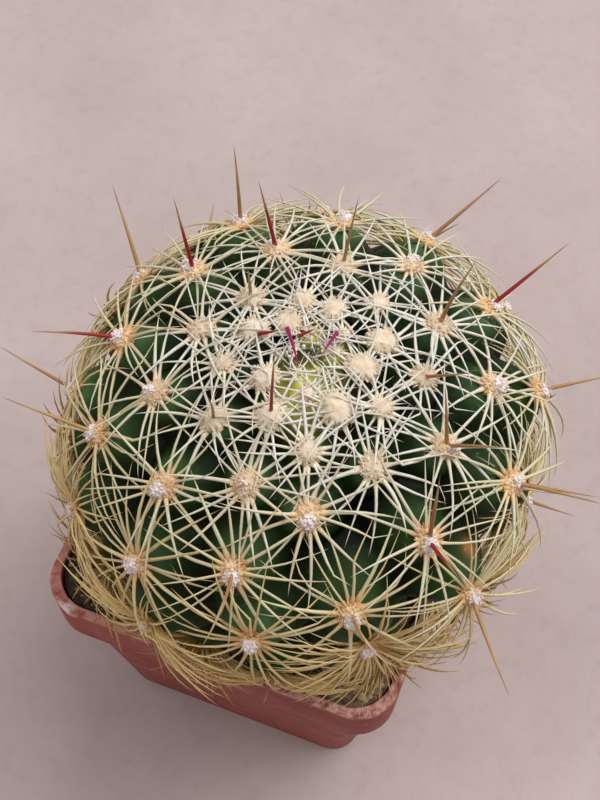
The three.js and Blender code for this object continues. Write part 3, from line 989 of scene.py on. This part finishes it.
def tubercle_flanks(shell):
    """For each point, how far down a tubercle's flank it lies, from 0 at an areole to the deepest
    reach in the valleys, and how deep the valleys are there: a soft blend of the nearest areoles."""
    weight, depth = np.zeros(len(shell)), np.zeros(len(shell))
    nearest = np.full(len(shell), np.inf)
    for one in areoles:
        reach = np.linalg.norm(shell - np.array(one.place), axis=1) * math.sqrt(3) / one.spacing
        share = np.exp(-PARTING * np.minimum(reach, 4) ** 2 / 4)
        weight += share
        depth += share * TUBERCLE_DEPTH * min(one.spacing, WIDEST_TUBERCLE)
        nearest = np.minimum(nearest, reach)
    weight += 1e-12
    depth = np.where(weight > 1e-9, depth / weight, TUBERCLE_DEPTH * WIDEST_TUBERCLE)
    soft = np.sqrt(np.clip(-np.log(weight) * 4 / PARTING, 0, DEEPEST_REACH ** 2))
    return np.minimum(soft, np.minimum(nearest, DEEPEST_REACH)), depth


def fresh_share(points):
    """How yellow-green each point of the stem is, about its centre."""
    fresh = np.zeros(len(points))
    for number, reach in FRESH_AREOLES.items():
        away = np.linalg.norm(points - np.array(Areole(number).place), axis=1)
        fresh = np.maximum(fresh, np.exp(-(away / (reach * MM)) ** 2))
    return np.minimum(fresh * FRESH_GAIN, 1)


def corky_share(points):
    """How corky each point of the stem is, about its centre, from the one patch of old tissue."""
    lean, around = np.radians(CORKY_PLACE)
    patch = CORKY_DEPTH * np.array([AREOLE_RADIUS * math.sin(lean) * math.cos(around),
                                    AREOLE_RADIUS * math.sin(lean) * math.sin(around),
                                    AREOLE_HEIGHT * math.cos(lean)])
    return np.exp(-(np.linalg.norm(points - patch, axis=1) / CORKY_REACH) ** 2)


def make_stem():
    """A sphere of small triangles pushed in between the areoles, which leaves the tubercles."""
    bpy.ops.mesh.primitive_ico_sphere_add(subdivisions=7, radius=1, location=(0, 0, 0))
    stem = bpy.context.object
    stem.name = stem.data.name = "tubercled_stem"
    unit = np.zeros(len(stem.data.vertices) * 3, np.float32)
    stem.data.vertices.foreach_get("co", unit)
    unit = unit.reshape(-1, 3).astype(float)
    theta = np.arctan2(np.hypot(unit[:, 0], unit[:, 1]), unit[:, 2])
    turn = np.arctan2(unit[:, 1], unit[:, 0])
    height = np.where(unit[:, 2] > 0, AREOLE_HEIGHT, AREOLE_DROP)
    reach = AREOLE_RADIUS * girth(theta, turn)
    shell = unit * np.column_stack([reach, reach, height])
    flank, depth = tubercle_flanks(shell)
    sink = depth * flank ** TUBERCLE_CURVE * valley_gain(theta, turn)
    sink = sink + SKIN_RIPPLE * uneven(shell, 220, 600, 0.5) * np.clip(flank * 3, 0, 1)
    body = shell * (1 - sink / AREOLE_RADIUS)[:, None]
    reach = np.linalg.norm(body, axis=1)
    direction = body / reach[:, None]
    points = direction * np.maximum(reach, neck_reach(direction))[:, None]
    world = points + np.array(STEM_CENTRE)
    stem.data.vertices.foreach_set("co", world.astype(np.float32).ravel())
    give_numbers(stem.data, valley=flank / DEEPEST_REACH, age=theta / math.pi,
                 fresh=fresh_share(points), corky=corky_share(points))
    stem.data.update()
    smooth(stem.data)
    dress(stem, flesh_material(), "cactus_flesh", "cactus")


# Spines

def spine_template(sides, rings):
    """One spine modelled from a cone along +Z, one long and one thick at the root: points and faces."""
    bpy.ops.mesh.primitive_cone_add(vertices=sides, radius1=1, radius2=0, depth=1, location=(0, 0, 0.5))
    spine = bpy.context.object
    settle(spine)
    edit_mode()
    for height in rings:
        bpy.ops.mesh.select_all(action="SELECT")
        bpy.ops.mesh.bisect(plane_co=(0, 0, height), plane_no=(0, 0, 1))
    object_mode()
    return take_shape(spine)


def ring_swell(height, foot, waist):
    """What thickens the template's rings: foot at the root, waist at the foot's end, then to a point."""
    taper = np.maximum(height - FOOT_END, 0) / (1 - FOOT_END)
    wanted = np.where(height < FOOT_END, foot + (waist - foot) * height / FOOT_END,
                      waist * (1 - taper ** TAPER))
    return wanted / np.maximum(1 - height, 1e-6)


def bent_spines(template, swell, roots, flats, outs, lifts, bends, sways, lengths, radii, kinks=None):
    """Copies of the template along arcs. Each starts at its root, lifted from its flat direction
    towards out, turns back by its bend and sideways by its sway, and may have one sharp kink."""
    points, faces = template
    heights = points[:, 2]
    steps = 24
    t = (np.arange(steps) + 0.5) / steps
    lift = lifts[:, None] - bends[:, None] * t[None]
    side = sways[:, None] * t[None]
    if kinks is not None:
        side = side + kinks[:, 1][:, None] * (t[None] > kinks[:, 0][:, None])
    across = np.cross(outs, flats)
    go = (np.cos(lift) * np.cos(side))[..., None] * flats[:, None]
    go = go + (np.cos(lift) * np.sin(side))[..., None] * across[:, None]
    go = go + np.sin(lift)[..., None] * outs[:, None]
    line = np.concatenate([np.zeros((len(roots), 1, 3)), np.cumsum(go, axis=1)], axis=1)
    line = roots[:, None] + line * (lengths / steps)[:, None, None]
    low = np.minimum((heights * steps).astype(int), steps - 1)
    part = (heights * steps - low)[None, :, None]
    centre = line[:, low] * (1 - part) + line[:, low + 1] * part
    tangent = go[:, low]
    first = np.cross(tangent, outs[:, None])
    first /= np.linalg.norm(first, axis=2, keepdims=True) + 1e-9
    second = np.cross(first, tangent)
    x, y = (points[:, :2] * ring_swell(heights, *swell)[:, None]).T[:, None, :, None]
    out = centre + x * radii[:, None, None] * first + y * radii[:, None, None] * second
    offsets = np.arange(len(roots))[:, None, None] * len(points)
    all_faces = [(group[None] + offsets).reshape(-1, group.shape[1]) for group in faces]
    return out, all_faces, np.tile(heights, len(roots))


def spine_piece(name, template, swell, spines, **numbers):
    """A piece of bent spines whose points know their spine's numbers and how far along it they are."""
    points, faces, along = bent_spines(template, swell, **spines)
    numbers = {key: np.repeat(values, points.shape[1]) for key, values in numbers.items()}
    world = points.reshape(-1, 3) + np.array(STEM_CENTRE)
    return new_mesh_piece(name, world, faces, along=along, **numbers)


def on_areole(turn, basis, downhill=1, across=1):
    """Directions along the flesh at turns on areoles, or places on an oval round them."""
    ahead = np.cos(turn)[:, None] * downhill * basis[:, 0]
    return ahead + np.sin(turn)[:, None] * across * basis[:, 1]


def clear_of_pot(points):
    """True for each spine whose points all stay outside the pot, or inside it above the mix."""
    world = points + np.array(STEM_CENTRE)
    reach = np.abs(world[..., :2]).max(axis=-1)
    over_rim = world[..., 2] > RIM_HEIGHT + POT_CLEARANCE
    outside = reach > RIM_SIDE / 2 + POT_CLEARANCE
    inside = reach < RIM_SIDE / 2 - COLLAR_WALL - POT_CLEARANCE
    over_mix = world[..., 2] > SOIL_TOP + CORNER_HEAP + MIX_CLEARANCE
    return (over_rim | outside | (inside & over_mix)).all(axis=1)


def fitted(template, spines):
    """Fits spines over the pot and the mix: those in the way are lifted, straightened and shortened by
    steps, and left out where they stay in it. Returns the spines, and which are kept."""
    for _ in range(FITTING_TRIES):
        points, _, _ = bent_spines(template, RADIAL_SWELL, **spines)
        stuck = ~clear_of_pot(points)
        if not stuck.any():
            break
        spines["lifts"] = spines["lifts"] + stuck * math.radians(FITTING_LIFT)
        spines["bends"] = spines["bends"] - stuck * math.radians(FITTING_BEND)
        spines["lengths"] = spines["lengths"] * np.where(stuck, FITTING_LENGTH, 1)
    return {key: values[~stuck] for key, values in spines.items()}, ~stuck


def radial_count(one):
    """How many radial spines an areole has, before chance changes it a little."""
    if one.number >= LOWER_FROM:
        return LOWER_RADIALS
    if one.number >= FLANK_FROM:
        return FLANK_RADIALS
    if one.number <= BUDS_UNTIL:
        return SHOWN_BUD_RADIALS if one.number in PAD_WIDTHS else BUD_RADIALS
    return RADIALS * min(1, (one.spacing / ROOMY_SPACING) ** 1.5)


def radial_rows(rng):
    """One row for each radial spine: its areole, its turn, and its tier, from 0 outside to 1 inside."""
    rows = []
    for one in areoles:
        count = max(BUD_RADIALS, int(radial_count(one) + rng.integers(-2, 3)))
        start = rng.uniform(0, 360)
        for i in range(count):
            turn = math.radians(start + 360 * (i + rng.uniform(-0.38, 0.38)) / count)
            rows.append((one, turn, (i * GOLDEN_SHARE) % 1))
    return rows


def radial_spines(rng, rows):
    """Where each radial spine roots and points, and how it lifts, bends, sways and kinks."""
    count = len(rows)
    ones, turn, tier = zip(*rows)
    turn, tier = np.array(turn), np.array(tier)
    basis = np.array([one.basis() for one in ones])
    place = np.array([one.place for one in ones])
    pad = np.array([one.pad_size()[0] for one in ones])
    grown = np.array([one.grown() for one in ones])
    down_curve = np.array([one.curve for one in ones])
    lowest = np.array([one.number >= LOWER_FROM for one in ones])
    age = np.array([one.age for one in ones])
    round_plant = np.arctan2(place[:, 1], place[:, 0])
    flatter = facing(round_plant, FLATTER_SIDE) ** 2
    old = ease(age, *AGING)
    low = ease(age, *PRESSING)
    lifted = loose_lift(round_plant) * ease(age, *LOOSENING)
    loose = np.minimum(lifted / LOOSE_FULLY, 1)
    pressed = low * (1 - loose)

    turn = turn + COMBED * (1 + flatter) * pressed * np.sin(turn) * (1 + np.cos(turn)) / 2
    uphill = np.maximum(-np.cos(turn), 0)
    ring = ROOT_RING - (INNER_RING + OLD_INNER_RING * old) * tier
    rise = INNER_ROOT_RISE * old * tier - YOUNG_ROOT_SINK * (1 - old)
    roots = place + on_areole(turn, basis, *ROOT_OVAL) * (pad * ring)[:, None]
    roots = roots + basis[:, 2] * rise[:, None]

    lengths = RADIAL_LENGTH * grown * (OUTER_LENGTH - INNER_SHORTER * tier)
    lengths = lengths * (CROWN_LENGTH + FLANK_LONGER * ease(age, *LENGTHENING))
    lengths = lengths * (1 + rng.normal(0, LENGTH_SPREAD, count))
    lengths = lengths * (1 - OVER_TOP_SHORTER * ease(age, *OVER_TOP) * uphill)
    lengths = lengths * (1 + LOOSE_LENGTH * loose)

    lifts = LIFT + OLD_LIFT * old + (INNER_LIFT + OLD_LIFT * old) * tier
    lifts = lifts - PRESSED_LIFT * pressed + rng.normal(0, LIFT_SPREAD, count) + lifted

    curve = down_curve * np.cos(turn) ** 2 + np.sin(turn) ** 2 / AREOLE_RADIUS
    clasp = RECURVED_BEND * ease(age, *RECURVING) + (PRESSED_BEND + FLATTER_BEND * flatter) * pressed
    bends = BEND + OLD_BEND * old + INNER_BEND * tier + rng.normal(0, BEND_SPREAD, count)
    bends = bends + clasp * (1 - UPHILL_STRAIGHTER * uphill)
    sways = rng.normal(0, SWAY - LOWER_STEADIER * low, count)

    radii = RADIAL_RADIUS * (CROWDED_THIN + (1 - CROWDED_THIN) * grown)
    radii = radii * (1 + rng.normal(0, RADIUS_SPREAD, count)) * np.where(lowest, LOWER_THIN, 1)
    kink_at = np.where(rng.uniform(0, 1, count) < KINKED, rng.uniform(*KINK_PLACES, count), NO_KINK)
    kink_by = rng.choice([-1, 1], count) * rng.uniform(*KINK_DEGREES, count)
    return {
        "roots": roots, "flats": on_areole(turn, basis), "outs": basis[:, 2],
        "lifts": np.radians(np.maximum(lifts, LEAST_LIFT)), "bends": curve * lengths + np.radians(bends),
        "sways": np.radians(sways), "lengths": lengths, "radii": radii,
        "kinks": np.column_stack([kink_at, np.radians(kink_by)]),
    }


def make_radials():
    """The radial spines, in a few pieces by age."""
    rng = np.random.default_rng(SEED + 1)
    rows = radial_rows(rng)
    template = spine_template(5, (0.07, 0.14, 0.3, 0.5, 0.7, 0.87))
    spines, kept = fitted(template, radial_spines(rng, rows))
    age = np.array([one.age for one, _, _ in rows])[kept]
    round_plant = np.array([math.atan2(one.place.y, one.place.x) for one, _, _ in rows])[kept]
    # Painted light: spines on the lit side are coloured paler, younger in colour and less brown.
    painted_lit = PAINTED_LIT_PALING * facing(round_plant, PAINTED_LIT_SIDE)
    tone = rng.beta(1.2, 4, len(rows))[kept] * (1 - PAINTED_LIT_TONE_LOSS * painted_lit)
    material = spine_material()
    for name, (low, high) in RADIAL_PIECES.items():
        mine = (age >= low) & (age < high)
        part = {key: values[mine] for key, values in spines.items()}
        piece = spine_piece(name, template, RADIAL_SWELL, part,
                            age=(age - painted_lit)[mine], tone=tone[mine])
        dress(piece, material, "radial_spines")


Central = namedtuple("Central", "areole length lean turn red young root")


def central_rows():
    """The central spines: areole, length, lean, turn, redness, how magenta, and the place of the root
    downhill, across and outward in mm. Those that rest take their lean from the solids' draws."""
    draw = even_draws(SEED + 1)
    rng = np.random.default_rng(SEED + 2)

    def varied(value):
        return value * (0.85 + 0.3 * next(draw))

    on_pad = (0, 0, ROOT_HEIGHT)
    rows = [Central(Areole(number), length * MM, lean, turn, red, 0.0, on_pad)
            for number, length, lean, turn, red in STANDING_CENTRALS]
    rows += [Central(Areole(number), length * MM, lean, turn, 1.0, young,
                     (down, aside, YOUNG_ROOT_HEIGHT))
             for number, length, lean, turn, young, down, aside in YOUNG_CENTRALS]
    for one in areoles:
        if one.number > OLDEST_LISTED:
            length, lean, turn = varied(RESTING_LENGTH), varied(RESTING_LEAN), 360 * next(draw)
            rows.append(Central(one, length, lean, turn, rng.choice([0, 0.2]), 0.0, on_pad))
    return rows


def make_centrals():
    rows = central_rows()
    rng = np.random.default_rng(SEED + 3)
    count = len(rows)
    basis = np.array([row.areole.basis() for row in rows])
    place = np.array([row.areole.place for row in rows])
    slender = np.array([row.areole.number <= SLENDER_UNTIL for row in rows])
    lengths = np.array([row.length for row in rows])
    thickness = np.clip(lengths / CENTRAL_FULL_LENGTH, *CENTRAL_THICKNESSES)
    spines = {
        "roots": place + np.einsum("ij,ijk->ik", np.array([row.root for row in rows]) * MM, basis),
        "flats": on_areole(np.radians([row.turn for row in rows]), basis),
        "outs": basis[:, 2],
        "lifts": np.pi / 2 - np.radians([row.lean for row in rows]),
        "bends": np.radians(rng.normal(0, CENTRAL_BEND_SPREAD, count)),
        "sways": np.radians(rng.normal(0, CENTRAL_SWAY, count)),
        "lengths": lengths,
        "radii": CENTRAL_RADIUS * np.where(slender, SLENDER, thickness),
    }
    template = spine_template(7, (0.05, 0.14, 0.35, 0.6, 0.82, 0.94))
    piece = spine_piece("central_spines", template, CENTRAL_SWELL, spines,
                        red=[row.red for row in rows], young=[row.young for row in rows])
    dress(piece, central_material(), "central_spines")


# Areoles

def unit_length(aim):
    return aim / np.linalg.norm(aim, axis=-1, keepdims=True)


def frame_along(aim):
    """Three directions at right angles, the first along the aim."""
    first = unit_length(aim)
    second = unit_length(np.cross(first, [0.31, 0.52, 0.79]))
    return np.array([first, second, np.cross(first, second)])


def make_pads():
    """The areoles: a soft dome on each tubercle's tip, scalloped at its rim where the bases of the
    spines crowd together, and grainy all over on older ones."""
    rng = np.random.default_rng(SEED + 4)
    dome, dome_faces = ball(4)
    grain, grain_faces = ball(1)
    lean = np.degrees(np.arccos(np.clip(dome[:, 2], -1, 1)))
    around = np.arctan2(dome[:, 1], dome[:, 0])
    rim = ease(lean, *SCALLOPED_RIM)
    pads = Lumps(STEM_CENTRE)
    for one in areoles:
        size = one.pad_size()
        basis = one.basis()
        place = np.array(one.place)
        scallops = rng.integers(*SCALLOPS)
        wave = np.abs(np.sin(scallops / 2 * around + rng.uniform(0, 6) + 0.5 * np.sin(2 * around)))
        rough = uneven(dome, 4, 9, 0.6, Vector(rng.uniform(0, 50, 3)))
        swell = PAD_DOME + SCALLOP_DEPTH * rim * (wave - 0.4) + PAD_GRAIN * rough
        pads.add((dome * size * swell[:, None]) @ basis + place, dome_faces, one.age)
        older = float(ease(one.number, GRAINY_FROM, GRAINY_FULL))
        grown = min(1, size[0] / (2 * MM))
        index = 0
        for share, (most, (first, last), lengths, widths) in ((grown, RAYS), (older, GRAINS)):
            count = int(most * share)
            for i in range(count):
                drop = first + (last - first) * (i + 0.5) / count
                tilt = math.acos(1 - drop) + rng.normal(0, 0.06)
                turn = index * GOLDEN_TURN + rng.normal(0, 0.15)
                flat = math.sin(tilt)
                aim = np.array([flat * math.cos(turn), flat * math.sin(turn), math.cos(tilt)])
                length, width = rng.uniform(*lengths) * MM, rng.uniform(*widths) * MM
                shape = (grain * (length, width, width)) @ frame_along(aim + rng.normal(0, 0.15, 3))
                pads.add((shape * grown + aim * size * RAY_ROOT) @ basis + place, grain_faces, one.age)
                index += 1
    dress(pads.piece("areole_pads", "age"), pad_material(), "areole_wool")


def make_wool():
    """White cottony tufts, each a grainy cushion with short stray hairs, at the lower side of older
    areoles, and loose fluff over the youngest ones at the top of the plant."""
    rng = np.random.default_rng(SEED + 5)
    cushion, cushion_faces = ball(3)
    crumb, crumb_faces = ball(1)
    wool = Lumps(STEM_CENTRE)
    hairs = []

    def strew(basis, middle, place, size, grain_count, hair_count):
        """Grains and hairs on a half ball of a size, about a middle on the axes of an areole."""
        for _ in range(grain_count):
            aim = unit_length(rng.standard_normal(3) * (1, 1, 0.8) + (0, 0, 0.5))
            rough = 1 + 0.25 * rng.standard_normal((len(crumb), 1))
            shape = crumb * rough * rng.uniform(*WOOL_GRAINS)
            out = aim * size * rng.uniform(0.85, 1.0)
            wool.add((shape + out + middle) @ basis + place, crumb_faces)
        for _ in range(hair_count):
            aim = unit_length(rng.standard_normal(3) + (0.2, 0, 0.7))
            root = (rng.normal(0, 0.4, 3) * size + middle) @ basis + place
            hairs.append((root, aim @ basis, rng.uniform(*HAIR_LENGTHS)))

    for one in areoles:
        if one.number <= WOOL_FROM:
            continue
        amount = ease(one.number, WOOL_FROM, WOOL_FULL) * rng.uniform(0.75, 1.15)
        basis, place = one.basis(), np.array(one.place)
        down, aside = rng.uniform(0.2, 0.9) * MM, rng.uniform(-0.4, 0.4) * MM
        middle = np.array([down, aside, one.pad_size()[2] * 0.7])
        size = np.array(TUFT_SIZE) * (LEAST_TUFT + (1 - LEAST_TUFT) * amount)
        rough = uneven(cushion, 3, 7, 0.7, Vector(rng.uniform(0, 50, 3)))
        body = cushion * size * (0.85 + 0.28 * rough)[:, None]
        wool.add((body + middle) @ basis + place, cushion_faces)
        counts = [int(least + more * amount) for least, more in (TUFT_GRAINS, TUFT_HAIRS)]
        strew(basis, middle, place, size, *counts)
    for right, back, width in APEX_FLUFF:
        middle = np.array([right * MM, back * MM, AREOLE_HEIGHT + 0.2 * MM])
        size = np.array([width, width, 0.7]) * MM
        strew(np.eye(3), middle, np.zeros(3), size, FLUFF_GRAINS, FLUFF_HAIRS)
    tufts = wool.piece("areole_tufts")

    roots, flats, lengths = (np.array(values) for values in zip(*hairs))
    count = len(hairs)
    spines = {
        "roots": roots,
        "flats": flats,
        "outs": unit_length(np.cross(flats, rng.standard_normal(flats.shape))),
        "lifts": np.zeros(count),
        "bends": rng.uniform(-HAIR_CURL, HAIR_CURL, count),
        "sways": rng.uniform(-HAIR_CURL, HAIR_CURL, count),
        "lengths": lengths,
        "radii": np.full(count, HAIR_RADIUS),
    }
    join(tufts, spine_piece("wool_hairs", spine_template(3, (0.4, 0.75)), HAIR_SWELL, spines))
    dress(tufts, wool_material(), "areole_wool")


# Stage

def area_light(name, place, size, power, color):
    """A round light that faces the middle of the pot."""
    bpy.ops.object.light_add(type="AREA", location=place)
    light = bpy.context.object
    light.name = name
    light.data.shape = "DISK"
    light.data.size = size
    light.data.energy = power
    light.data.color = color
    aim = Vector(place) - Vector((0, 0, 60 * MM))
    light.rotation_euler = aim.to_track_quat("Z", "Y").to_euler()


def make_stage():
    bpy.ops.mesh.primitive_plane_add(size=4, location=(0, 0, 0))
    floor = bpy.context.object
    floor.name = "paper_floor"
    floor.data.materials.append(floor_material())
    area_light("window", (0.47, 0.52, 1.15), 1.5, 20, (1.0, 0.98, 0.96))
    area_light("room", (-0.8, -0.3, 1.0), 1.2, 3.5, (1.0, 0.95, 0.92))
    world = bpy.data.worlds.new("soft_room")
    bpy.context.scene.world = world
    world.use_nodes = True
    background = world.node_tree.nodes["Background"]
    background.inputs["Color"].default_value = (0.92, 0.85, 0.82, 1)
    background.inputs["Strength"].default_value = 0.45


make_pot()
make_soil()
make_stem()
make_pads()
make_radials()
make_centrals()
make_wool()
make_stage()
